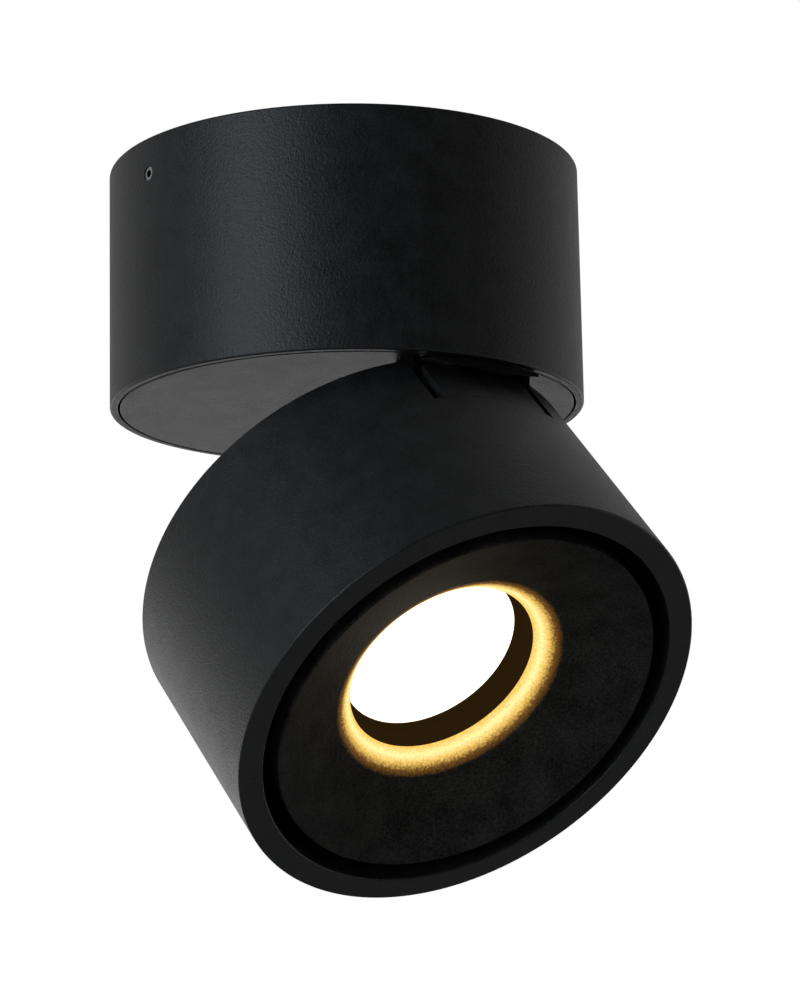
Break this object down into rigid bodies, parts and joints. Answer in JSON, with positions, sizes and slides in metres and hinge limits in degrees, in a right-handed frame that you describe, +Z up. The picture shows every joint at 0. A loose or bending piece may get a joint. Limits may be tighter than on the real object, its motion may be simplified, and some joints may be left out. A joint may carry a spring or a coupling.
{
  "type": "surface mounted ceiling spotlight",
  "caption": "Round can fixed under a ceiling with a flush turntable in its underside and an equal round spot head that folds open on a rear hinge; deep baffled round light",
  "frame": {"origin": "centre of the ceiling plate's upper face, the face that lies against the ceiling, on the can's axis", "axes": "+Z up into the ceiling along the can's axis; +X along the hinge axis; -Y from the axis towards the hinge, the head opening towards +Y"},
  "size_m": [0.1, 0.1258, 0.1541],
  "materials": {
    "black_paint": "fine textured matt black powder coat over cast aluminium",
    "galvanised_steel": "galvanised sheet",
    "zinc_steel": "zinc plated, satin",
    "bright_steel": "polished steel",
    "nylon": "natural nylon",
    "driver_plastic": "fine satin moulded",
    "circuit_board": "solder mask",
    "component_black": "satin",
    "lead_cover": "smooth soft cover",
    "rubber": "soft matt",
    "bare_aluminium": "as cast",
    "ceramic_board": "white ceramic",
    "phosphor": "silicone phosphor",
    "holder_plastic": "white moulded",
    "reflector_metal": "vacuum metallised",
    "opal": "opal diffusing",
    "baffle_black": "fine grained matt"
  },
  "bodies": {
    "canopy": {"canopy_housing": "black_paint", "ceiling_plate": "galvanised_steel", "canopy_grub_screws": "zinc_steel", "driver_tray": "driver_plastic", "driver_lid": "driver_plastic", "driver_board": "circuit_board", "driver_components": "component_black", "driver_screws": "zinc_steel", "terminal_block": "nylon", "terminal_screws": "zinc_steel", "earth_terminal": "zinc_steel", "supply_leads": "lead_cover", "driver_output_lead": "lead_cover", "pan_stop_pin": "zinc_steel", "thrust_washer": "nylon"},
    "turntable": {"turntable_disc": "black_paint", "pivot_tube": "zinc_steel", "pivot_nut": "zinc_steel", "pivot_washer": "zinc_steel", "wave_washer": "bright_steel", "hinge_yoke": "black_paint", "yoke_screws": "zinc_steel", "hinge_axle": "bright_steel", "hinge_washers": "nylon", "turntable_grommet": "rubber", "turntable_lead": "lead_cover"},
    "head": {"head_casing": "black_paint", "hinge_knuckle": "black_paint", "knuckle_screws": "zinc_steel", "heat_sink": "bare_aluminium", "heat_sink_screws": "zinc_steel", "cob_board": "ceramic_board", "cob_phosphor": "phosphor", "cob_holder": "holder_plastic", "cob_holder_screws": "zinc_steel", "reflector": "reflector_metal", "diffuser": "opal", "baffle_trim": "baffle_black", "trim_screws": "zinc_steel", "head_grommet": "rubber", "head_lead": "lead_cover"}
  },
  "joints": [
    {"name": "pan", "type": "hinge", "parent": "canopy", "child": "turntable", "pos_m": [0, 0, -0.051], "axis": [0, 0, 1], "range_deg": [-174, 174]},
    {"name": "tilt", "type": "hinge", "parent": "turntable", "child": "head", "pos_m": [0, -0.043, -0.0609], "axis": [-1, 0, 0], "range_deg": [-43, 47]}
  ]
}
